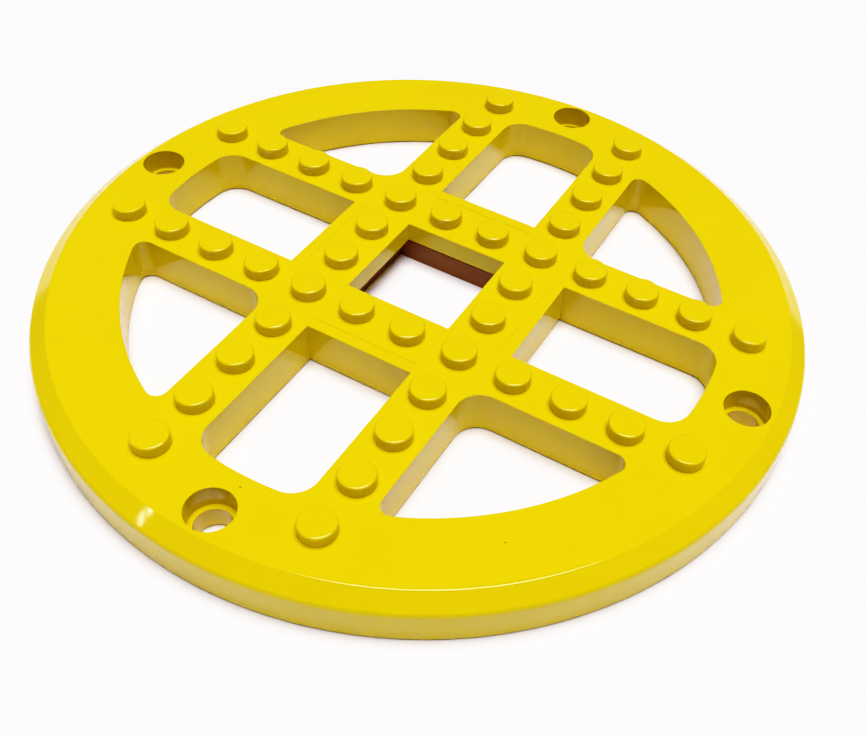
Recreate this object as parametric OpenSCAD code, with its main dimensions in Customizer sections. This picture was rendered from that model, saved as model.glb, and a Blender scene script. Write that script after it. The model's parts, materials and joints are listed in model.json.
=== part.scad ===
// Merry-go-round deck for a building-block playground.
// A round deck with a lattice of studded bars turns on a low pivot plate under its hub.
// Frame: +Z up, millimetres, origin on the resting surface below the centre of the deck.
// East is +X and north is +Y in the names of the arms.

/* [Building grid] */
// Distance between two neighbouring studs
pitch = 8; // [6.5:0.1:9.6]
// Diameter of a stud
stud_d = 4.8; // [4:0.1:5.8]
// Height of a stud above the deck
stud_h = 1.7; // [1:0.1:2.4]
// Depth of the bevel round the top of a stud
stud_bevel = 0.3; // [0.1:0.05:0.5]

/* [Deck] */
// Outer diameter of the deck
deck_d = 108; // [90:1:150]
// Thickness of the deck
deck_h = 6.4; // [5.2:0.1:12]
// Width of the flat ring and its chamfer, from the windows to the outer edge
rim_w = 11.85; // [11:0.05:15]
// Width of the chamfer round the top of the rim, seen from above
chamfer_w = 2.4; // [1:0.1:2.9]
// Height of that chamfer
chamfer_h = 1.6; // [0.8:0.1:2]
// Width of a bar of the lattice
bar_w = 7.8; // [6.4:0.1:9.4]

/* [Walls] */
// Thickness of the skirts and of the sides of the arms
wall_t = 1.5; // [1:0.1:2]
// Thickness of the top of an arm
skin_t = 1.6; // [1:0.1:2.4]
// Height of the upright land between the rim's chamfer and its skirt
rim_land = 0.2; // [0.1:0.1:0.6]
// Thickness of the wall that closes each straight window towards the hub
end_wall_t = 1.9; // [1.5:0.1:3]
// Number of ribs under the rim, a multiple of eight
rib_count = 24; // [8:8:24]
// Thickness of a rib
rib_t = 1; // [0.8:0.1:1.4]
// Gap between the lower edge of a rib and that of the skirts
rib_lift = 0.8; // [0.2:0.1:1.6]

/* [Windows] */
// Corner radius at the outer end of a straight window
end_fillet_r = 3.5; // [2:0.1:5]
// Corner radius of a corner window, next to the hub
hub_fillet_r = 3.5; // [2:0.1:5]
// Radius of the sharp tips of a corner window
tip_fillet_r = 1.5; // [0.8:0.1:2.2]

/* [Pin holes] */
// Number of pin holes round the rim
pin_count = 4; // [4]
// Distance from the outer edge of the deck to the axis of a pin hole
pin_inset = 6; // [5.9:0.05:6.2]
// Diameter of the pin bore
pin_d = 4.8; // [4:0.1:5]
// Diameter of the counterbore above it
counterbore_d = 6.2; // [5.4:0.1:6.4]
// Length of the narrow pin bore
pin_grip_h = 3.2; // [1.6:0.1:4]
// Thickness of the tube round the counterbore
boss_wall = 1; // [0.6:0.1:1.2]

/* [Pivot] */
// Depth of the pocket under the hub that takes the pivot plate
pocket_depth = 3.2; // [1.6:0.1:4]
// Height of the deck above the surface that the pivot plate stands on
deck_lift = 0.2; // [0.1:0.1:1]
// Thinnest wall of the hub frame, between the pocket and an end wall
pocket_web = 0.2; // [0.1:0.1:1]
// Radial running clearance between the pivot plate and its pocket
pivot_clearance = 0.1; // [0.05:0.05:0.3]
// How far the window in the pivot plate is wider than the deck's, on the east and west
pivot_step = 1.5; // [0.5:0.1:3]

/* [Hidden] */
$fn = 128;

deck_colour = [0.94, 0.84, 0.05];
pivot_colour = [0.33, 0.16, 0.10];

deck_r = deck_d / 2;
window_r = deck_r - rim_w;
deck_bottom = deck_lift;
deck_top = deck_lift + deck_h;
skirt_top = deck_top - chamfer_h - rim_land;
ring_r = window_r + wall_t;
skirt_r = deck_r - wall_t;

// Each bar is centred on a row of studs one and a half pitches from the centre line.
bar_row = 1.5 * pitch;
bar_in = bar_row - bar_w / 2;
bar_out = bar_row + bar_w / 2;
window_start = bar_out + end_wall_t;

// Centre of the arc that rounds the corner between the line y = side and the window circle
function rim_fillet(side, fillet_r, inward) =
    let (y = side + inward * fillet_r) [sqrt(pow(window_r - fillet_r, 2) - y * y), y];
end_fillet = rim_fillet(bar_in, end_fillet_r, -1);
tip_fillet = rim_fillet(bar_out, tip_fillet_r, 1);
hub_fillet = bar_out + hub_fillet_r;

// An arm is the straight stretch of a bar between the fillets at its two ends.
arm_margin = 0.2;
arm_start = hub_fillet + arm_margin;
arm_end = min(end_fillet.x, tip_fillet.x) - arm_margin;
core_start = bar_out + wall_t;
core_end = sqrt(pow(window_r, 2) - pow(bar_out, 2));

stud_r = stud_d / 2;
pin_circle_r = deck_r - pin_inset;
// A boss is as thick as its wall asks, but no wider than the hollow under the rim.
boss_r = min(counterbore_d / 2 + boss_wall, pin_circle_r - ring_r, skirt_r - pin_circle_r);
pocket_r = bar_out - pocket_web;
pivot_r = pocket_r - pivot_clearance;
pivot_h = deck_lift + pocket_depth;

// Studs stand on each row as far out as they fit on the flat of the rim.
flat_r = deck_r - chamfer_w - stud_r;
row_studs = floor(sqrt(pow(flat_r, 2) - pow(bar_row, 2)) / pitch + 0.5);
function stud_place(i) = (i + 0.5) * pitch;
// A stud belongs to the rim once its middle is past the windows.
function on_rim(i) = norm([stud_place(i), bar_row]) > window_r;

// Overshoot of a cutting tool past the face that it cuts
over = 1;

function far_along(point) = point * (2 * deck_r / norm(point));
function swap(point) = [point.y, point.x];
function flip(point) = [point.x, -point.y];

module each_side() {
    for (turn = [0:90:270]) rotate([0, 0, turn]) children();
}

module raise_deck() {
    translate([0, 0, deck_bottom]) linear_extrude(deck_h) children();
}

// The straight window between two arms on the east side
module straight_window_2d() {
    translate([window_start, -bar_in]) square([end_fillet.x - window_start, 2 * bar_in]);
    for (corner = [end_fillet, flip(end_fillet)])
        translate(corner) circle(r = end_fillet_r);
    intersection() {
        circle(r = window_r);
        polygon([flip(end_fillet), flip(far_along(end_fillet)), far_along(end_fillet), end_fillet]);
    }
}

// The corner window between the east and the north bars
module corner_window_2d() {
    translate([hub_fillet, hub_fillet]) circle(r = hub_fillet_r);
    for (corner = [tip_fillet, swap(tip_fillet)])
        translate(corner) circle(r = tip_fillet_r);
    intersection() {
        circle(r = window_r);
        polygon([[hub_fillet, hub_fillet], [hub_fillet, bar_out], [tip_fillet.x, bar_out],
            tip_fillet, far_along(tip_fillet), [2 * deck_r, 2 * deck_r],
            far_along(swap(tip_fillet)), swap(tip_fillet), [bar_out, tip_fillet.x],
            [bar_out, hub_fillet]]);
    }
}

module windows_2d() {
    square(2 * bar_in, center = true);
    each_side() {
        straight_window_2d();
        corner_window_2d();
    }
}

// The hollow under the north bar of the east side, from the hub to the window ring
module bar_core() {
    translate([core_start, bar_in + wall_t, deck_bottom - over])
        cube([core_end - core_start, bar_w - 2 * wall_t, deck_h - skin_t + over]);
}

module all_bar_cores() {
    each_side() {
        bar_core();
        mirror([0, 1, 0]) bar_core();
    }
}

// One arm, cored out from below, turned to its side of the deck
module arm(turn, other_half = false) {
    color(deck_colour)
        rotate([0, 0, turn])
            mirror([0, other_half ? 1 : 0, 0])
                difference() {
                    translate([arm_start, bar_in, deck_bottom])
                        cube([arm_end - arm_start, bar_w, deck_h]);
                    bar_core();
                }
}

module arm_east_north() { arm(0); }
module arm_east_south() { arm(0, other_half = true); }
module arm_north_west() { arm(90); }
module arm_north_east() { arm(90, other_half = true); }
module arm_west_south() { arm(180); }
module arm_west_north() { arm(180, other_half = true); }
module arm_south_east() { arm(270); }
module arm_south_west() { arm(270, other_half = true); }

module pivot_pocket() {
    translate([0, 0, deck_bottom - over]) cylinder(r = pocket_r, h = pocket_depth + over);
}

// The frame where the four bars cross, with their fillets and the pocket for the pivot plate
module hub_frame() {
    color(deck_colour)
        difference() {
            raise_deck()
                difference() {
                    square(2 * arm_start, center = true);
                    windows_2d();
                    each_side() translate([bar_out, -bar_in]) square([end_wall_t, 2 * bar_in]);
                }
            pivot_pocket();
            all_bar_cores();
        }
}

// The walls that close the straight windows towards the hub
module window_end_walls() {
    color(deck_colour)
        each_side()
            translate([bar_out, -bar_in, deck_bottom]) cube([end_wall_t, 2 * bar_in, deck_h]);
}

module stud() {
    color(deck_colour) {
        cylinder(d = stud_d, h = stud_h - stud_bevel);
        translate([0, 0, stud_h - stud_bevel])
            cylinder(d1 = stud_d, d2 = stud_d - 2 * stud_bevel, h = stud_bevel);
    }
}

// The eight like studs at step i of the rows, on both sides of the four arms
module stud_ring(i) {
    each_side()
        for (side = [-1, 1])
            translate([stud_place(i), side * bar_row, deck_top]) stud();
}

// The hub carries the four crossing studs and the eight between them.
module hub_studs() {
    stud_ring(0);
    each_side() translate([bar_row, bar_row, deck_top]) stud();
}

module arm_studs() {
    for (i = [2:row_studs - 1])
        if (!on_rim(i)) stud_ring(i);
}

module rim_studs() {
    for (i = [2:row_studs - 1])
        if (on_rim(i)) stud_ring(i);
}

module each_pin_place() {
    for (i = [0:pin_count - 1])
        rotate([0, 0, i * 360 / pin_count]) translate([pin_circle_r, 0, 0]) children();
}

module pin_bore() {
    translate([0, 0, deck_bottom - over]) cylinder(d = pin_d, h = deck_h + 2 * over);
    translate([0, 0, deck_bottom + pin_grip_h]) cylinder(d = counterbore_d, h = deck_h);
}

// The full-depth wall round the windows, with the outer ends of the bars and their fillets
module window_ring() {
    color(deck_colour)
        difference() {
            raise_deck()
                difference() {
                    circle(r = ring_r);
                    windows_2d();
                    square(2 * arm_start, center = true);
                    square([2 * arm_end, 2 * bar_out], center = true);
                    square([2 * bar_out, 2 * arm_end], center = true);
                }
            all_bar_cores();
        }
}

// The flat top of the rim, with its chamfered outer edge
module rim_deck() {
    color(deck_colour)
        difference() {
            rotate_extrude()
                polygon([[ring_r, skirt_top], [deck_r, skirt_top],
                    [deck_r, deck_top - chamfer_h], [deck_r - chamfer_w, deck_top],
                    [ring_r, deck_top]]);
            each_pin_place() pin_bore();
        }
}

// The wall that hangs from the outer edge of the rim
module outer_skirt() {
    color(deck_colour)
        translate([0, 0, deck_bottom])
            difference() {
                cylinder(r = deck_r, h = skirt_top - deck_bottom);
                translate([0, 0, -over]) cylinder(r = skirt_r, h = deck_h + over);
            }
}

// The ring-shaped hollow under the rim, from a given height up to the rim deck
module rim_channel(bottom) {
    translate([0, 0, bottom])
        difference() {
            cylinder(r = skirt_r, h = skirt_top - bottom);
            translate([0, 0, -over]) cylinder(r = ring_r, h = deck_h + 2 * over);
        }
}

// Radial ribs between the window ring and the skirt, halfway between the pin bosses
module rim_ribs() {
    color(deck_colour)
        for (i = [0:rib_count - 1])
            rotate([0, 0, (i + 0.5) * 360 / rib_count])
                intersection() {
                    translate([window_r, -rib_t / 2, 0]) cube([rim_w, rib_t, deck_top]);
                    rim_channel(deck_bottom + rib_lift);
                }
}

// The tubes round the pin bores
module pin_bosses() {
    color(deck_colour)
        each_pin_place()
            difference() {
                translate([0, 0, deck_bottom]) cylinder(r = boss_r, h = skirt_top - deck_bottom);
                pin_bore();
            }
}

// The fixed plate that the deck turns on
module pivot_plate() {
    window_x = 2 * (bar_in + pivot_step);
    color(pivot_colour)
        difference() {
            cylinder(r = pivot_r, h = pivot_h);
            translate([-window_x / 2, -bar_in, -over]) cube([window_x, 2 * bar_in, pivot_h + 2 * over]);
        }
}

pivot_plate();
hub_frame();
window_end_walls();
hub_studs();
arm_east_north();
arm_east_south();
arm_north_east();
arm_north_west();
arm_west_north();
arm_west_south();
arm_south_east();
arm_south_west();
arm_studs();
window_ring();
rim_deck();
outer_skirt();
rim_ribs();
pin_bosses();
rim_studs();
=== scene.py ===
"""Looks of a low round merry-go-round deck that turns on a pivot plate.

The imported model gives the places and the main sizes. The deck is one yellow moulding with a
lattice of studded bars, and the pivot plate under its hub is a second, dark brown moulding.
Shapes are drawn in millimetres and brought to metres when a piece is finished.
"""

import json
import logging
import math
from dataclasses import dataclass
from enum import Enum

import bmesh
import bpy
from mathutils import Matrix, Vector


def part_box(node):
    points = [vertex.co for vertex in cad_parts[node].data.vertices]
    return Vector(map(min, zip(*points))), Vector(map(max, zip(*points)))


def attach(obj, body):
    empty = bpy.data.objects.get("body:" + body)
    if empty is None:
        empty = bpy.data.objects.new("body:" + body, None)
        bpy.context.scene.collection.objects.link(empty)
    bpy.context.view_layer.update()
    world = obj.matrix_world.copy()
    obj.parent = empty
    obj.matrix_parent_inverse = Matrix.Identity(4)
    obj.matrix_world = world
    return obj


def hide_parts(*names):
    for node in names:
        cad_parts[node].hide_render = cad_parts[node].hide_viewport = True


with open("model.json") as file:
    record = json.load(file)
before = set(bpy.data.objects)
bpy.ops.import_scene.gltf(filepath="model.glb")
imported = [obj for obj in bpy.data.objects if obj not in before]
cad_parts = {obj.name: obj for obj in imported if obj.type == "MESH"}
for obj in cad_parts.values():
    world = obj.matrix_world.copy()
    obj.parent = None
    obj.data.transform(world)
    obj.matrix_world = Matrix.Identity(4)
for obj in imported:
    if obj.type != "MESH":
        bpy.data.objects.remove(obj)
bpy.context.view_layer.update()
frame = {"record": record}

log = logging.getLogger("merry_go_round")

MM = 0.001
UP = Vector((0.0, 0.0, 1.0))
QUARTER = math.pi / 2
WHITE_LEVEL = 1.4
TONE_POINTS = ((0.05, 0.015), (0.14, 0.105), (0.35, 0.34), (0.7, 0.7), (0.96, 0.9), (1.2, 0.975))


class Body(Enum):
    """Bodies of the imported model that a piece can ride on."""

    BASE = "base"
    DECK = "deck"


class Slot(Enum):
    """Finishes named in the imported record."""

    DECK = "deck_plastic"
    PIVOT = "pivot_plastic"


class Cut(Enum):
    """How one solid acts on another."""

    ADD = "UNION"
    REMOVE = "DIFFERENCE"


def box_mm(node: str) -> tuple[Vector, Vector]:
    """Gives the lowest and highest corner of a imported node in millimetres.

    Args:
        node: Name of the node.

    Returns:
        The two corners, rounded to a hundredth of a millimetre.
    """
    low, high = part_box(node)
    return tuple(Vector(round(c / MM, 2) for c in corner) for corner in (low, high))


@dataclass(frozen=True)
class DeckPlan:
    """Main sizes of the deck and its pivot, in millimetres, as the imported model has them."""

    deck_r: float
    ring_r: float
    bottom: float
    top: float
    skirt_top: float
    bar_in: float
    bar_out: float
    window_start: float
    stud_r: float
    stud_top: float
    pivot_r: float
    pivot_top: float
    pin_places: tuple[tuple[float, float], ...]
    pin_r: float
    pin_ledge: float
    rim_wall: float = 1.5
    skin: float = 1.6
    chamfer_w: float = 2.4
    chamfer_h: float = 1.6
    end_fillet: float = 3.5
    hub_fillet: float = 3.5
    tip_fillet: float = 1.5
    recess_r: float = 3.1
    pocket_gap: float = 0.1
    pivot_step: float = 1.5
    pitch: float = 8.0

    @classmethod
    def from_frame(cls) -> "DeckPlan":
        """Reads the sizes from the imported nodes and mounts.

        Returns:
            The plan that every piece is drawn from.
        """
        rim_low, rim_high = box_mm("rim_deck")
        arm_low, arm_high = box_mm("arm_east_north")
        studs_high = box_mm("hub_studs")[1]
        plate_high = box_mm("pivot_plate")[1]
        skirt_low = box_mm("outer_skirt")[0]
        row = (arm_low.y + arm_high.y) / 2
        pins = [m for m in frame["record"]["mounts"] if m["kind"] == "bore"]
        half_length = pins[0]["dims"]["length_mm"] / 2
        return cls(
            deck_r=rim_high.x,
            ring_r=box_mm("window_ring")[1].x,
            bottom=skirt_low.z,
            top=rim_high.z,
            skirt_top=rim_low.z,
            bar_in=arm_low.y,
            bar_out=arm_high.y,
            window_start=box_mm("window_end_walls")[1].x,
            stud_r=studs_high.x - row,
            stud_top=studs_high.z,
            pivot_r=plate_high.x,
            pivot_top=plate_high.z,
            pin_places=tuple((m["pos_m"][0] / MM, m["pos_m"][1] / MM) for m in pins),
            pin_r=pins[0]["dims"]["r_mm"],
            pin_ledge=pins[0]["pos_m"][2] / MM + half_length,
        )

    @property
    def window_r(self) -> float:
        """Radius of the circle that the windows end on."""
        return self.ring_r - self.rim_wall

    @property
    def skirt_r(self) -> float:
        """Inner radius of the outer skirt."""
        return self.deck_r - self.rim_wall

    @property
    def row(self) -> float:
        """Distance of a row of studs from the centre line."""
        return (self.bar_in + self.bar_out) / 2


class Outline:
    """A closed flat outline of arcs and straight lines that is raised into a prism."""

    ARC_STEP = math.radians(1.0)
    MAX_CHORD = 0.35

    def __init__(self) -> None:
        """Starts an empty outline."""
        self.mesh = bmesh.new()
        self.chain: list[bmesh.types.BMVert] = []

    def _join(self, run: list[bmesh.types.BMVert]) -> None:
        """Ties a new run of vertices to the end of the chain."""
        if self.chain:
            self.mesh.edges.new((self.chain[-1], run[0]))
        self.chain.extend(run)

    def corner(self, x: float, y: float) -> "Outline":
        """Adds a sharp corner."""
        self._join([bmesh.ops.create_vert(self.mesh, co=(x, y, 0.0))["vert"][0]])
        return self

    def arc(self, centre: tuple[float, float], radius: float, start: float, end: float) -> "Outline":
        """Adds an arc.

        Args:
            centre: Centre of the arc.
            radius: Radius of the arc.
            start: Angle that it starts from, in radians.
            end: Angle that it ends at, in radians.

        Returns:
            The outline itself.
        """
        hub = Vector((*centre, 0.0))
        first = hub + radius * Vector((math.cos(start), math.sin(start), 0.0))
        seed = bmesh.ops.create_vert(self.mesh, co=first)["vert"][0]
        step = min(math.radians(9.0), max(self.ARC_STEP, self.MAX_CHORD / radius))
        known = set(self.mesh.verts)
        bmesh.ops.spin(self.mesh, geom=[seed], cent=hub, axis=UP, angle=end - start,
                       steps=max(2, math.ceil(abs(end - start) / step)))
        self._join([seed] + [v for v in self.mesh.verts if v not in known])
        return self

    def prism(self, low: float, high: float) -> bmesh.types.BMesh:
        """Closes the outline and raises it.

        Args:
            low: Height of the lower face.
            high: Height of the upper face.

        Returns:
            The closed solid.
        """
        self.mesh.edges.new((self.chain[-1], self.chain[0]))
        bmesh.ops.contextual_create(self.mesh, geom=self.mesh.edges[:])
        bmesh.ops.translate(self.mesh, verts=self.mesh.verts[:], vec=(0.0, 0.0, low))
        raised = bmesh.ops.extrude_face_region(self.mesh, geom=self.mesh.faces[:])["geom"]
        verts = [g for g in raised if isinstance(g, bmesh.types.BMVert)]
        bmesh.ops.translate(self.mesh, verts=verts, vec=(0.0, 0.0, high - low))
        bmesh.ops.recalc_face_normals(self.mesh, faces=self.mesh.faces[:])
        return self.mesh


def turned_solid(section: list[tuple[float, float]], steps: int) -> bmesh.types.BMesh:
    """Spins a closed section round the upright axis.

    Args:
        section: Corners of the section as radius and height, in order.
        steps: Number of steps in the full turn.

    Returns:
        The closed solid.
    """
    mesh = bmesh.new()
    ring = [bmesh.ops.create_vert(mesh, co=(r, 0.0, z))["vert"][0] for r, z in section]
    edges = [mesh.edges.new(pair) for pair in zip(ring, ring[1:] + ring[:1])]
    bmesh.ops.spin(mesh, geom=ring + edges, cent=(0.0, 0.0, 0.0), axis=UP, angle=math.tau,
                   steps=steps, use_merge=True)
    bmesh.ops.remove_doubles(mesh, verts=mesh.verts[:], dist=1e-4)
    bmesh.ops.dissolve_degenerate(mesh, dist=1e-5, edges=mesh.edges[:])
    bmesh.ops.recalc_face_normals(mesh, faces=mesh.faces[:])
    return mesh


def block(low: tuple[float, float, float], high: tuple[float, float, float]) -> bmesh.types.BMesh:
    """Makes an upright block between two corners."""
    mesh = bmesh.new()
    size = Vector(high) - Vector(low)
    middle = (Vector(high) + Vector(low)) / 2
    bmesh.ops.create_cube(mesh, size=1.0, matrix=Matrix.Translation(middle) @ Matrix.Diagonal((*size, 1.0)))
    return mesh


def gather(parts: list[bmesh.types.BMesh], places: list[Matrix]) -> bmesh.types.BMesh:
    """Copies every part to every place, in one mesh.

    Args:
        parts: Meshes to copy, which are freed.
        places: Where each copy goes.

    Returns:
        The mesh of all the copies.
    """
    whole = bmesh.new()
    for part in parts:
        loose = bpy.data.meshes.new("loose")
        part.to_mesh(loose)
        part.free()
        for place in places:
            known = set(whole.verts)
            whole.from_mesh(loose)
            fresh = [v for v in whole.verts if v not in known]
            bmesh.ops.transform(whole, matrix=place, verts=fresh)
        bpy.data.meshes.remove(loose)
    bmesh.ops.recalc_face_normals(whole, faces=whole.faces[:])
    return whole


def quarter_turns() -> list[Matrix]:
    """The four quarter turns about the upright axis."""
    return [Matrix.Rotation(i * QUARTER, 4, "Z") for i in range(4)]


class Workpiece:
    """A solid that others are cut from or added to before it becomes a finished piece."""

    def __init__(self, mesh: bmesh.types.BMesh, name: str) -> None:
        """Puts a mesh on the bench.

        Args:
            mesh: The solid, which is freed.
            name: Name of the finished piece.
        """
        self.name = name
        self.object = self._put(mesh, name)

    @staticmethod
    def _put(mesh: bmesh.types.BMesh, name: str) -> bpy.types.Object:
        """Makes an object of a mesh and links it."""
        data = bpy.data.meshes.new(name)
        mesh.to_mesh(data)
        mesh.free()
        piece = bpy.data.objects.new(name, data)
        bpy.context.scene.collection.objects.link(piece)
        return piece

    def work(self, mesh: bmesh.types.BMesh, cut: Cut) -> None:
        """Adds a solid to the piece, or removes it.

        Args:
            mesh: The other solid, which is freed.
            cut: Whether it is added or removed.
        """
        tool = self._put(mesh, "tool")
        modifier = self.object.modifiers.new("cut", "BOOLEAN")
        modifier.operation = cut.value
        modifier.solver = "EXACT"
        modifier.object = tool
        self._apply()
        data = tool.data
        bpy.data.objects.remove(tool)
        bpy.data.meshes.remove(data)

    def _apply(self) -> None:
        """Makes the result of the modifiers the piece's own mesh."""
        graph = bpy.context.evaluated_depsgraph_get()
        old = self.object.data
        new = bpy.data.meshes.new_from_object(self.object.evaluated_get(graph))
        self.object.modifiers.clear()
        self.object.data = new
        new.name = self.name
        bpy.data.meshes.remove(old)

    def tidy(self, flat: float = math.radians(0.2)) -> None:
        """Merges doubles and joins the faces that lie in one plane."""
        mesh = bmesh.new()
        mesh.from_mesh(self.object.data)
        bmesh.ops.remove_doubles(mesh, verts=mesh.verts[:], dist=2e-3)
        bmesh.ops.dissolve_limit(mesh, angle_limit=flat, verts=mesh.verts[:], edges=mesh.edges[:])
        bmesh.ops.dissolve_degenerate(mesh, dist=1e-4, edges=mesh.edges[:])
        mesh.to_mesh(self.object.data)
        mesh.free()

    def round_edges(self, chosen, width: float, segments: int) -> None:
        """Rounds the edges that a test picks out.

        Args:
            chosen: Test that takes an edge and says whether it is rounded.
            width: Width of the rounding.
            segments: Number of steps in the rounding.
        """
        mesh = bmesh.new()
        mesh.from_mesh(self.object.data)
        edges = [e for e in mesh.edges if len(e.link_faces) == 2 and chosen(e)]
        bmesh.ops.bevel(mesh, geom=edges, offset=width, offset_type="OFFSET", segments=segments,
                        profile=0.5, affect="EDGES", material=-1, clamp_overlap=True)
        mesh.to_mesh(self.object.data)
        mesh.free()
        log.info("%s: %d edges rounded", self.name, len(edges))

    def finish(self, finish: bpy.types.Material, body: Body, slot: Slot, nodes: list[str]) -> bpy.types.Object:
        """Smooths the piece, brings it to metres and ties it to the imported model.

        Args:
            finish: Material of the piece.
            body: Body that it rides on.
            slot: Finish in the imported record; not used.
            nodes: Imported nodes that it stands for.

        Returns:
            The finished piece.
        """
        data = self.object.data
        mesh = bmesh.new()
        mesh.from_mesh(data)
        for face in mesh.faces:
            face.smooth = True
        for edge in mesh.edges:
            if len(edge.link_faces) == 2:
                edge.smooth = edge.calc_face_angle(0.0) < math.radians(32.0)
        mesh.to_mesh(data)
        mesh.free()
        data.transform(Matrix.Scale(MM, 4))
        data.materials.clear()
        data.materials.append(finish)
        weight = self.object.modifiers.new("flat_faces", "WEIGHTED_NORMAL")
        weight.mode = "FACE_AREA"
        weight.weight = 50
        weight.keep_sharp = True
        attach(self.object, body.value)
        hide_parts(*nodes)
        log.info("%s: %d faces", self.name, len(data.polygons))
        return self.object


@dataclass
class Deck:
    """The yellow moulding: rim, windows, bars, hub, pin holes and the hollows below."""

    plan: DeckPlan
    rim_steps: int = 360
    core_r: float = 5.0
    overshoot: float = 3.0
    rib_count: int = 24
    rib_width: float = 1.0
    rib_lift: float = 0.8
    boss_r: float = 4.1
    edge_round: float = 0.2
    shoulder_round: float = 0.07
    brow_round: float = 0.42
    foot_round: float = 0.15
    lip_round: float = 0.3
    witness_half: float = 16.08
    witness_width: float = 0.07
    witness_depth: float = 0.05

    def _rim(self) -> bmesh.types.BMesh:
        """Turns the body of the deck, with its chamfer and the hollow under the rim."""
        p = self.plan
        return turned_solid([
            (self.core_r, p.bottom), (p.ring_r, p.bottom), (p.ring_r, p.skirt_top),
            (p.skirt_r, p.skirt_top), (p.skirt_r, p.bottom), (p.deck_r, p.bottom),
            (p.deck_r, p.top - p.chamfer_h), (p.deck_r - p.chamfer_w, p.top),
            (self.core_r, p.top)], self.rim_steps)

    def _fillet_centre(self, side: float, radius: float, inward: int) -> tuple[float, float]:
        """Centre of the arc between a window's side and the window circle."""
        y = side + inward * radius
        return math.sqrt((self.plan.window_r - radius) ** 2 - y * y), y

    def _straight_window(self) -> bmesh.types.BMesh:
        """The east window, between two arms."""
        p = self.plan
        x, y = self._fillet_centre(p.bar_in, p.end_fillet, -1)
        tangent = math.atan2(y, x)
        outline = Outline().corner(p.window_start, -p.bar_in)
        outline.arc((x, -y), p.end_fillet, -QUARTER, -tangent)
        outline.arc((0.0, 0.0), p.window_r, -tangent, tangent)
        outline.arc((x, y), p.end_fillet, tangent, QUARTER)
        outline.corner(p.window_start, p.bar_in)
        return self._through(outline)

    def _corner_window(self) -> bmesh.types.BMesh:
        """The window between the east and the north bars."""
        p = self.plan
        x, y = self._fillet_centre(p.bar_out, p.tip_fillet, 1)
        tangent = math.atan2(y, x)
        hub = p.bar_out + p.hub_fillet
        outline = Outline().arc((hub, hub), p.hub_fillet, math.pi, 3 * QUARTER)
        outline.arc((x, y), p.tip_fillet, -QUARTER, tangent)
        outline.arc((0.0, 0.0), p.window_r, tangent, QUARTER - tangent)
        outline.arc((y, x), p.tip_fillet, QUARTER - tangent, math.pi)
        return self._through(outline)

    def _through(self, outline: Outline) -> bmesh.types.BMesh:
        """Raises an outline through the whole deck."""
        return outline.prism(self.plan.bottom - self.overshoot, self.plan.top + self.overshoot)

    def _windows(self) -> bmesh.types.BMesh:
        """All nine windows."""
        p = self.plan
        mesh = gather([self._straight_window(), self._corner_window()], quarter_turns())
        centre = block((-p.bar_in, -p.bar_in, p.bottom - self.overshoot),
                       (p.bar_in, p.bar_in, p.top + self.overshoot))
        whole = bmesh.new()
        for part in (mesh, centre):
            loose = bpy.data.meshes.new("loose")
            part.to_mesh(loose)
            part.free()
            whole.from_mesh(loose)
            bpy.data.meshes.remove(loose)
        return whole

    def _bar_hollows(self) -> bmesh.types.BMesh:
        """The hollows under the eight arms."""
        p = self.plan
        reach = math.sqrt(p.window_r ** 2 - p.bar_out ** 2)
        half = block((p.bar_out + p.rim_wall, p.bar_in + p.rim_wall, p.bottom - self.overshoot),
                     (reach, p.bar_out - p.rim_wall, p.top - p.skin))
        other = block((p.bar_out + p.rim_wall, p.rim_wall - p.bar_out, p.bottom - self.overshoot),
                      (reach, -p.bar_in - p.rim_wall, p.top - p.skin))
        return gather([half, other], quarter_turns())

    def _ribs(self) -> bmesh.types.BMesh:
        """The ribs under the rim, sunk a little into the walls round them."""
        p = self.plan
        sink = p.rim_wall / 3
        rib = block((p.ring_r - sink, -self.rib_width / 2, p.bottom + self.rib_lift),
                    (p.skirt_r + sink, self.rib_width / 2, p.skirt_top + sink))
        turn = math.tau / self.rib_count
        return gather([rib], [Matrix.Rotation((i + 0.5) * turn, 4, "Z") for i in range(self.rib_count)])

    def _pin_tools(self) -> tuple[bmesh.types.BMesh, bmesh.types.BMesh]:
        """The bosses to add and the stepped bores to cut."""
        p = self.plan
        spots = [Matrix.Translation((x, y, 0.0)) for x, y in p.pin_places]
        boss = bmesh.new()
        height = p.skirt_top + p.rim_wall / 3 - p.bottom
        bmesh.ops.create_cone(boss, cap_ends=True, segments=96, radius1=self.boss_r, radius2=self.boss_r,
                              depth=height, matrix=Matrix.Translation((0, 0, p.bottom + height / 2)))
        low, high = p.bottom - self.overshoot, p.top + self.overshoot
        bore = turned_solid([(0.0, low), (p.pin_r, low), (p.pin_r, p.pin_ledge),
                             (p.recess_r, p.pin_ledge), (p.recess_r, high), (0.0, high)], 96)
        return gather([boss], spots), gather([bore], spots)

    def _witness_lines(self) -> bmesh.types.BMesh:
        """Hairline grooves that the mould insert of the hub leaves on the bars."""
        p = self.plan
        half, width = self.witness_half, self.witness_width / 2
        low, high = p.top - self.witness_depth, p.top + self.overshoot
        line = block((half - width, -p.bar_in, low), (half + width, p.bar_in, high))
        return gather([line], quarter_turns())

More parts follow.
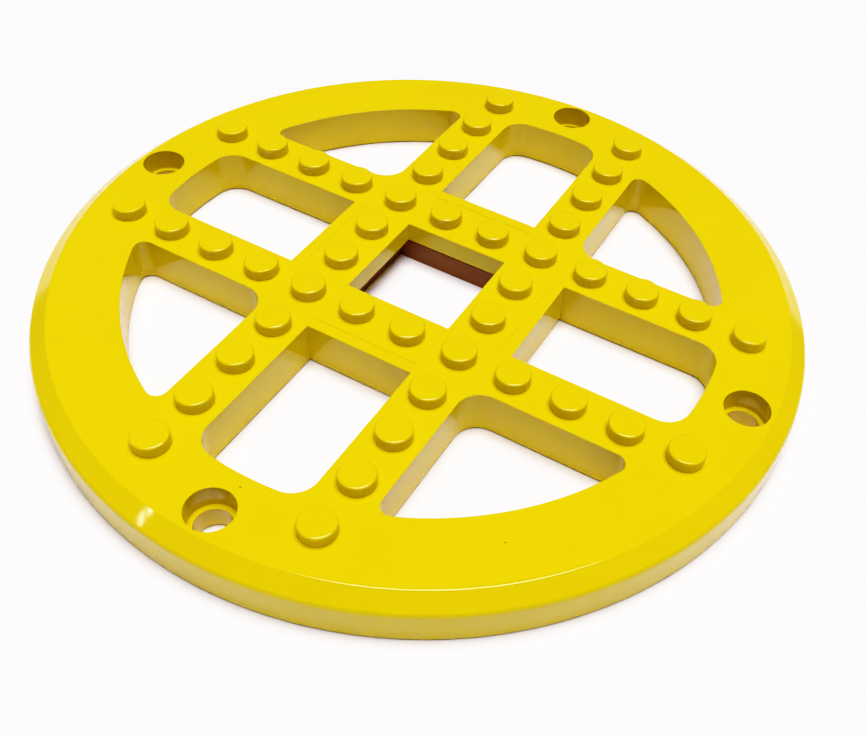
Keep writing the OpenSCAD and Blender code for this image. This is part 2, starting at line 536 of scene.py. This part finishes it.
    def build(self, finish: bpy.types.Material) -> bpy.types.Object:
        """Builds the moulding.

        Args:
            finish: Material of the deck.

        Returns:
            The finished piece.
        """
        p = self.plan
        piece = Workpiece(self._rim(), "deck_moulding")
        bosses, bores = self._pin_tools()
        piece.work(self._ribs(), Cut.ADD)
        piece.work(bosses, Cut.ADD)
        piece.work(self._windows(), Cut.REMOVE)
        piece.work(self._bar_hollows(), Cut.REMOVE)
        pocket = turned_solid([(0.0, p.bottom - 3.0), (p.pivot_r + p.pocket_gap, p.bottom - 3.0),
                               (p.pivot_r + p.pocket_gap, p.pivot_top), (0.0, p.pivot_top)], 180)
        piece.work(pocket, Cut.REMOVE)
        piece.work(bores, Cut.REMOVE)
        piece.tidy()
        piece.round_edges(self._is_shoulder, self.shoulder_round, 5)
        piece.round_edges(self._is_brow, self.brow_round, 6)
        piece.round_edges(self._is_top_edge, self.edge_round, 4)
        piece.round_edges(self._is_foot, self.foot_round, 3)
        piece.round_edges(self._is_hub_lip, self.lip_round, 5)
        piece.work(self._witness_lines(), Cut.REMOVE)
        nodes = [n for n in frame["record"]["behaviour"]["bodies"][Body.DECK.value] if "studs" not in n]
        return piece.finish(finish, Body.DECK, Slot.DECK, nodes)

    def _rim_edge(self, edge: bmesh.types.BMEdge, radius: float, height: float) -> bool:
        """Tells whether an edge is part of the circle of a given radius and height."""
        return all(abs(math.hypot(v.co.x, v.co.y) - radius) < 0.02 and abs(v.co.z - height) < 0.01
                   for v in edge.verts)

    def _is_shoulder(self, edge: bmesh.types.BMEdge) -> bool:
        """The upper edge of the chamfer."""
        return self._rim_edge(edge, self.plan.deck_r - self.plan.chamfer_w, self.plan.top)

    def _is_brow(self, edge: bmesh.types.BMEdge) -> bool:
        """The lower edge of the chamfer."""
        return self._rim_edge(edge, self.plan.deck_r, self.plan.top - self.plan.chamfer_h)

    def _is_top_edge(self, edge: bmesh.types.BMEdge) -> bool:
        """The upper edges of the windows and of the pin holes."""
        level = all(abs(v.co.z - self.plan.top) < 0.01 for v in edge.verts)
        return level and edge.calc_face_angle(0.0) > math.radians(60.0)

    def _is_foot(self, edge: bmesh.types.BMEdge) -> bool:
        """The lower edges of every wall."""
        p = self.plan
        if edge.calc_face_angle(0.0) < math.radians(60.0):
            return False
        return all(abs(v.co.z - p.bottom) < 0.01 for v in edge.verts)

    def _is_hub_lip(self, edge: bmesh.types.BMEdge) -> bool:
        """The lower edges of the centre window, above the pivot plate."""
        p = self.plan
        return all(abs(v.co.z - p.pivot_top) < 0.01 and max(abs(v.co.x), abs(v.co.y)) < p.bar_in + 0.01
                   for v in edge.verts)


@dataclass
class Studs:
    """Round studs with a softened top edge."""

    plan: DeckPlan
    top_round: float = 0.28
    sink: float = 0.05
    steps: int = 64

    def _stud(self) -> bmesh.types.BMesh:
        """One stud at the origin."""
        p = self.plan
        mesh = bmesh.new()
        height = p.stud_top - p.top + self.sink
        middle = Matrix.Translation((0.0, 0.0, p.top - self.sink + height / 2))
        bmesh.ops.create_cone(mesh, cap_ends=True, segments=self.steps, radius1=p.stud_r,
                              radius2=p.stud_r, depth=height, matrix=middle)
        rim = [e for e in mesh.edges if all(v.co.z > p.stud_top - 0.01 for v in e.verts)]
        bmesh.ops.bevel(mesh, geom=rim, offset=self.top_round, offset_type="OFFSET", segments=5,
                        profile=0.5, affect="EDGES", material=-1, clamp_overlap=True)
        return mesh

    def places(self) -> dict[str, list[tuple[float, float]]]:
        """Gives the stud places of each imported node, from the nodes' own sizes."""
        p = self.plan
        reach = round((box_mm("rim_studs")[1].x - p.stud_r) / p.pitch - 0.5)
        inner = [(i + 0.5) * p.pitch for i in range(2, reach)]
        row = p.row
        def both(values: list[float]) -> list[tuple[float, float]]:
            return [(v, s * row) for v in values for s in (-1, 1)]
        return {"hub_studs": [(p.pitch / 2, -row), (p.pitch / 2, row), (row, row)],
                "arm_studs": both(inner), "rim_studs": both([(reach + 0.5) * p.pitch])}

    def build(self, finish: bpy.types.Material) -> list[bpy.types.Object]:
        """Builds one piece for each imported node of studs.

        Args:
            finish: Material of the studs.

        Returns:
            The finished pieces.
        """
        pieces = []
        for node, spots in self.places().items():
            turned = {}
            for x, y in spots:
                for turn in quarter_turns():
                    spot = turn @ Vector((x, y, 0.0))
                    turned[(round(spot.x, 3), round(spot.y, 3))] = Matrix.Translation(spot)
            piece = Workpiece(gather([self._stud()], list(turned.values())), node.replace("studs", "stud_set"))
            pieces.append(piece.finish(finish, Body.DECK, Slot.DECK, [node]))
        return pieces


@dataclass
class PivotPlate:
    """The dark brown plate under the hub, with a square window."""

    plan: DeckPlan
    edge_round: float = 0.12

    def build(self, finish: bpy.types.Material) -> bpy.types.Object:
        """Builds the plate.

        Args:
            finish: Material of the plate.

        Returns:
            The finished piece.
        """
        p = self.plan
        disc = bmesh.new()
        bmesh.ops.create_cone(disc, cap_ends=True, segments=180, radius1=p.pivot_r, radius2=p.pivot_r,
                              depth=p.pivot_top, matrix=Matrix.Translation((0, 0, p.pivot_top / 2)))
        piece = Workpiece(disc, "pivot_disc")
        half_x = p.bar_in + p.pivot_step
        piece.work(block((-half_x, -p.bar_in, -1.0), (half_x, p.bar_in, p.pivot_top + 1.0)), Cut.REMOVE)
        piece.round_edges(lambda e: e.calc_face_angle(0.0) > math.radians(40.0)
                          and abs(e.verts[0].co.z - e.verts[1].co.z) < 0.01, self.edge_round, 3)
        return piece.finish(finish, Body.BASE, Slot.PIVOT, ["pivot_plate"])


class ShaderKit:
    """Node groups that the finishes share. They give masks and heights only."""

    def __init__(self) -> None:
        """Builds each group once."""
        self.mottle = self._build_mottle()
        self.scratches = self._build_scratches()
        self.specks = self._build_specks()

    @staticmethod
    def _new_group(name: str, inputs: dict[str, float], outputs: list[str]) -> bpy.types.ShaderNodeTree:
        """Starts a group that takes a place vector and numbers.

        Args:
            name: Name of the group.
            inputs: Number inputs and their usual values.
            outputs: Names of the number outputs.

        Returns:
            The group, with its input and output nodes.
        """
        group = bpy.data.node_groups.new(name, "ShaderNodeTree")
        group.interface.new_socket(name="Place", in_out="INPUT", socket_type="NodeSocketVector")
        for label, value in inputs.items():
            group.interface.new_socket(name=label, in_out="INPUT",
                                       socket_type="NodeSocketFloat").default_value = value
        for label in outputs:
            group.interface.new_socket(name=label, in_out="OUTPUT", socket_type="NodeSocketFloat")
        group.nodes.new("NodeGroupInput")
        group.nodes.new("NodeGroupOutput")
        return group

    @staticmethod
    def ends(group: bpy.types.ShaderNodeTree) -> tuple[bpy.types.Node, bpy.types.Node]:
        """Gives the input and the output node of a group."""
        return group.nodes["Group Input"], group.nodes["Group Output"]

    @staticmethod
    def math(tree: bpy.types.ShaderNodeTree, kind: str, first, second=0.0, clamp: bool = False):
        """Places a Math node.

        Args:
            tree: Tree that takes the node.
            kind: Operation of the node.
            first: First number or socket.
            second: Second number or socket.
            clamp: Whether the result stays between 0 and 1.

        Returns:
            The output socket.
        """
        node = tree.nodes.new("ShaderNodeMath")
        node.operation = kind
        node.use_clamp = clamp
        for socket, value in zip(node.inputs, (first, second)):
            if isinstance(value, (int, float)):
                socket.default_value = value
            else:
                tree.links.new(value, socket)
        return node.outputs[0]

    @staticmethod
    def noise(tree: bpy.types.ShaderNodeTree, place, scale, detail: float = 3.0, roughness: float = 0.5):
        """Places a Noise Texture and gives its value socket."""
        node = tree.nodes.new("ShaderNodeTexNoise")
        tree.links.new(place, node.inputs["Vector"])
        if isinstance(scale, (int, float)):
            node.inputs["Scale"].default_value = scale
        else:
            tree.links.new(scale, node.inputs["Scale"])
        node.inputs["Detail"].default_value = detail
        node.inputs["Roughness"].default_value = roughness
        return node.outputs["Fac"]

    @staticmethod
    def stretch(tree: bpy.types.ShaderNodeTree, place, turn: float, scale: tuple[float, float, float]):
        """Turns and stretches a place vector with a Mapping node."""
        node = tree.nodes.new("ShaderNodeMapping")
        tree.links.new(place, node.inputs["Vector"])
        node.inputs["Rotation"].default_value = (0.0, 0.0, turn)
        node.inputs["Scale"].default_value = scale
        return node.outputs["Vector"]

    def _build_mottle(self) -> bpy.types.ShaderNodeTree:
        """Slow cloudy change of the dye, and the fine ripple of a moulded skin."""
        group = self._new_group("moulded_skin", {"Cloud Scale": 60.0, "Ripple Scale": 1800.0},
                                ["Cloud", "Ripple"])
        start, end = self.ends(group)
        cloud = self.noise(group, start.outputs["Place"], start.outputs["Cloud Scale"], 4.0, 0.55)
        ripple = self.noise(group, start.outputs["Place"], start.outputs["Ripple Scale"], 2.0, 0.4)
        group.links.new(cloud, end.inputs["Cloud"])
        group.links.new(ripple, end.inputs["Ripple"])
        return group

    def _build_scratches(self) -> bpy.types.ShaderNodeTree:
        """Fine handling scratches in three directions, thicker in some patches."""
        group = self._new_group("handling_scratches", {"Amount": 0.5}, ["Scratch"])
        start, end = self.ends(group)
        place = start.outputs["Place"]
        total = None
        for turn, fine in ((0.35, 5200.0), (1.45, 6400.0), (2.5, 4600.0)):
            line = self.noise(group, self.stretch(group, place, turn, (90.0, fine, 90.0)), 1.0, 1.0, 0.3)
            line = self.math(group, "MULTIPLY", self.math(group, "SUBTRACT", line, 0.7), 9.0, clamp=True)
            total = line if total is None else self.math(group, "MAXIMUM", total, line)
        patch = self.noise(group, place, 140.0, 2.0)
        patch = self.math(group, "MULTIPLY", self.math(group, "SUBTRACT", patch, 0.42), 5.0, clamp=True)
        total = self.math(group, "MULTIPLY", total, patch)
        total = self.math(group, "MULTIPLY", total, start.outputs["Amount"])
        group.links.new(total, end.inputs["Scratch"])
        return group

    def _build_specks(self) -> bpy.types.ShaderNodeTree:
        """Rare tiny specks of dust."""
        group = self._new_group("dust_specks", {"Spread": 260.0, "Size": 0.035}, ["Speck"])
        start, end = self.ends(group)
        cells = group.nodes.new("ShaderNodeTexVoronoi")
        group.links.new(start.outputs["Place"], cells.inputs["Vector"])
        group.links.new(start.outputs["Spread"], cells.inputs["Scale"])
        near = self.math(group, "LESS_THAN", cells.outputs["Distance"], start.outputs["Size"])
        pick = group.nodes.new("ShaderNodeSeparateColor")
        group.links.new(cells.outputs["Color"], pick.inputs["Color"])
        rare = self.math(group, "LESS_THAN", pick.outputs["Red"], 0.3)
        group.links.new(self.math(group, "MULTIPLY", near, rare), end.inputs["Speck"])
        return group

    @staticmethod
    def place_group(tree: bpy.types.ShaderNodeTree, group: bpy.types.ShaderNodeTree, place,
                    **values: float) -> bpy.types.Node:
        """Places a group in a material, with its own values."""
        node = tree.nodes.new("ShaderNodeGroup")
        node.node_tree = group
        tree.links.new(place, node.inputs["Place"])
        for label, value in values.items():
            node.inputs[label.replace("_", " ").title()].default_value = value
        return node


@dataclass(frozen=True)
class PlasticFinish:
    """A glossy moulded plastic."""

    name: str
    colour: tuple[float, float, float]
    deep_colour: tuple[float, float, float]
    speck_colour: tuple[float, float, float]
    roughness: float
    roughness_spread: float
    scratch_depth: float
    ripple_depth: float
    refraction: float = 1.5

    def material(self, kit: ShaderKit) -> bpy.types.Material:
        """Builds the material.

        Args:
            kit: The shared node groups.

        Returns:
            The material.
        """
        material = bpy.data.materials.new(self.name)
        material.use_nodes = True
        tree = material.node_tree
        shader = tree.nodes["Principled BSDF"]
        place = tree.nodes.new("ShaderNodeTexCoord").outputs["Object"]
        skin = kit.place_group(tree, kit.mottle, place)
        scratch = kit.place_group(tree, kit.scratches, place).outputs["Scratch"]
        speck = kit.place_group(tree, kit.specks, place).outputs["Speck"]
        cloud = kit.math(tree, "MULTIPLY", kit.math(tree, "SUBTRACT", skin.outputs["Cloud"], 0.35), 2.5, clamp=True)
        dyed = self._blend(tree, cloud, self.colour, self.deep_colour)
        dusty = self._blend(tree, speck, dyed, self.speck_colour)
        tree.links.new(dusty, shader.inputs["Base Color"])
        rough = kit.math(tree, "MULTIPLY_ADD", cloud, self.roughness_spread)
        rough.node.inputs[2].default_value = self.roughness
        rough = kit.math(tree, "MULTIPLY_ADD", scratch, 0.35)
        rough.node.inputs[2].default_value = self.roughness
        extra = kit.math(tree, "MULTIPLY", cloud, self.roughness_spread)
        tree.links.new(kit.math(tree, "ADD", rough, extra), shader.inputs["Roughness"])
        height = kit.math(tree, "MULTIPLY", skin.outputs["Ripple"], self.ripple_depth)
        height = kit.math(tree, "SUBTRACT", height, kit.math(tree, "MULTIPLY", scratch, self.scratch_depth))
        bump = tree.nodes.new("ShaderNodeBump")
        bump.inputs["Strength"].default_value = 1.0
        bump.inputs["Distance"].default_value = MM
        tree.links.new(height, bump.inputs["Height"])
        tree.links.new(bump.outputs["Normal"], shader.inputs["Normal"])
        shader.inputs["IOR"].default_value = self.refraction
        return material

    @staticmethod
    def _blend(tree: bpy.types.ShaderNodeTree, factor, first, second):
        """Blends two colours or colour sockets by a mask."""
        node = tree.nodes.new("ShaderNodeMix")
        node.data_type = "RGBA"
        tree.links.new(factor, node.inputs["Factor"])
        for socket, value in ((node.inputs[6], first), (node.inputs[7], second)):
            if isinstance(value, tuple):
                socket.default_value = (*value, 1.0)
            else:
                tree.links.new(value, socket)
        return node.outputs[2]


YELLOW = PlasticFinish("yellow_plastic", (0.74, 0.56, 0.0015), (0.72, 0.54, 0.001), (0.30, 0.20, 0.02),
                       0.045, 0.025, 0.0012, 0.0003)
BROWN = PlasticFinish("brown_plastic", (0.265, 0.115, 0.034), (0.215, 0.094, 0.028), (0.3, 0.14, 0.06),
                      0.3, 0.06, 0.0012, 0.0008, 1.3)


def floor_material(kit: ShaderKit) -> bpy.types.Material:
    """Makes the pale board that the deck lies on."""
    material = bpy.data.materials.new("pale_board")
    material.use_nodes = True
    tree = material.node_tree
    shader = tree.nodes["Principled BSDF"]
    place = tree.nodes.new("ShaderNodeTexCoord").outputs["Object"]
    skin = kit.place_group(tree, kit.mottle, place, cloud_scale=9.0, ripple_scale=900.0)
    colour = PlasticFinish._blend(tree, skin.outputs["Cloud"], (0.94, 0.90, 0.95), (0.91, 0.87, 0.93))
    tree.links.new(colour, shader.inputs["Base Color"])
    shader.inputs["Roughness"].default_value = 0.75
    shader.inputs["Specular IOR Level"].default_value = 0.2
    return material


def build_stage(kit: ShaderKit) -> None:
    """Lays the pale floor."""
    mesh = bmesh.new()
    bmesh.ops.create_grid(mesh, x_segments=1, y_segments=1, size=3.0)
    data = bpy.data.meshes.new("floor")
    mesh.to_mesh(data)
    mesh.free()
    floor = bpy.data.objects.new("floor", data)
    bpy.context.scene.collection.objects.link(floor)
    data.materials.append(floor_material(kit))


def area_light(name: str, azimuth: float, elevation: float, distance: float, size: float, power: float,
               height: float = 0.0) -> None:
    """Hangs a round light that looks at the deck, or a rectangular one if it has a height."""
    data = bpy.data.lights.new(name, "AREA")
    data.shape = "RECTANGLE" if height else "DISK"
    data.size = size
    data.energy = power
    if height:
        data.size_y = height
    hang(data, azimuth, elevation, distance)


def hang(data: bpy.types.Light, azimuth: float, elevation: float, distance: float) -> None:
    """Hangs a light so that it looks at the deck."""
    lamp = bpy.data.objects.new(data.name, data)
    a, e = math.radians(azimuth), math.radians(elevation)
    way = Vector((math.cos(a) * math.cos(e), math.sin(a) * math.cos(e), math.sin(e)))
    lamp.location = way * distance
    lamp.rotation_mode = "QUATERNION"
    lamp.rotation_quaternion = way.to_track_quat("Z", "Y")
    bpy.context.scene.collection.objects.link(lamp)


def build_lights() -> None:
    """Sets the soft light and the colour handling."""
    scene = bpy.context.scene
    world = bpy.data.worlds.new("soft_room")
    scene.world = world
    world.use_nodes = True
    nodes, links = world.node_tree.nodes, world.node_tree.links
    background = nodes["Background"]
    where = nodes.new("ShaderNodeTexCoord")
    split = nodes.new("ShaderNodeSeparateXYZ")
    ramp = nodes.new("ShaderNodeValToRGB")
    links.new(where.outputs["Generated"], split.inputs[0])
    links.new(split.outputs["Z"], ramp.inputs["Fac"])
    links.new(ramp.outputs["Color"], background.inputs["Color"])
    ramp.color_ramp.elements[0].position = 0.0
    ramp.color_ramp.elements[0].color = (0.55, 0.55, 0.56, 1)
    ramp.color_ramp.elements[1].position = 0.35
    ramp.color_ramp.elements[1].color = (0.13, 0.13, 0.14, 1)
    ramp.color_ramp.elements.new(0.03).color = (0.13, 0.13, 0.14, 1)
    background.inputs["Strength"].default_value = 1.0
    sun = bpy.data.lights.new("top_soft", "SUN")
    sun.energy = 3.66
    sun.angle = math.radians(36.0)
    hang(sun, 48.0, 85.9, 1.2)
    area_light("pane_upper", 225.05, 35.15, 1.0, 0.025, 0.020, 0.010)
    area_light("pane_lower", 225.3, 33.85, 1.0, 0.028, 0.016, 0.012)
    scene.view_settings.view_transform = "Standard"
    scene.view_settings.use_curve_mapping = True
    curves = scene.view_settings.curve_mapping
    curves.white_level = (WHITE_LEVEL,) * 3
    tone = curves.curves[3]
    for light, shown in TONE_POINTS:
        tone.points.new(light / WHITE_LEVEL, shown)
    curves.update()


def build_camera() -> None:
    """Sets the camera."""
    data = bpy.data.cameras.new("camera")
    data.sensor_width = 36.0
    data.lens = 42.79
    data.shift_x = -0.0551
    data.clip_start = 0.005
    camera = bpy.data.objects.new("camera", data)
    right = Vector((0.87360, 0.48262, 0.06241))
    down = Vector((0.38849, -0.61442, -0.68670))
    ahead = Vector((-0.29307, 0.62415, -0.72426))
    turn = Matrix((right, -down, -ahead)).transposed().to_4x4()
    camera.matrix_world = Matrix.Translation(Vector((54.94, -96.25, 104.21)) * MM) @ turn
    bpy.context.scene.collection.objects.link(camera)
    bpy.context.scene.camera = camera


def main() -> None:
    """Builds every piece, the stage and the camera in order."""
    logging.basicConfig(level=logging.INFO, format="%(name)s: %(message)s")
    build_camera()
    kit = ShaderKit()
    build_stage(kit)
    build_lights()
    plan = DeckPlan.from_frame()
    yellow = YELLOW.material(kit)
    brown = BROWN.material(kit)
    Deck(plan).build(yellow)
    Studs(plan).build(yellow)
    PivotPlate(plan).build(brown)


if __name__ == "__main__":
    main()
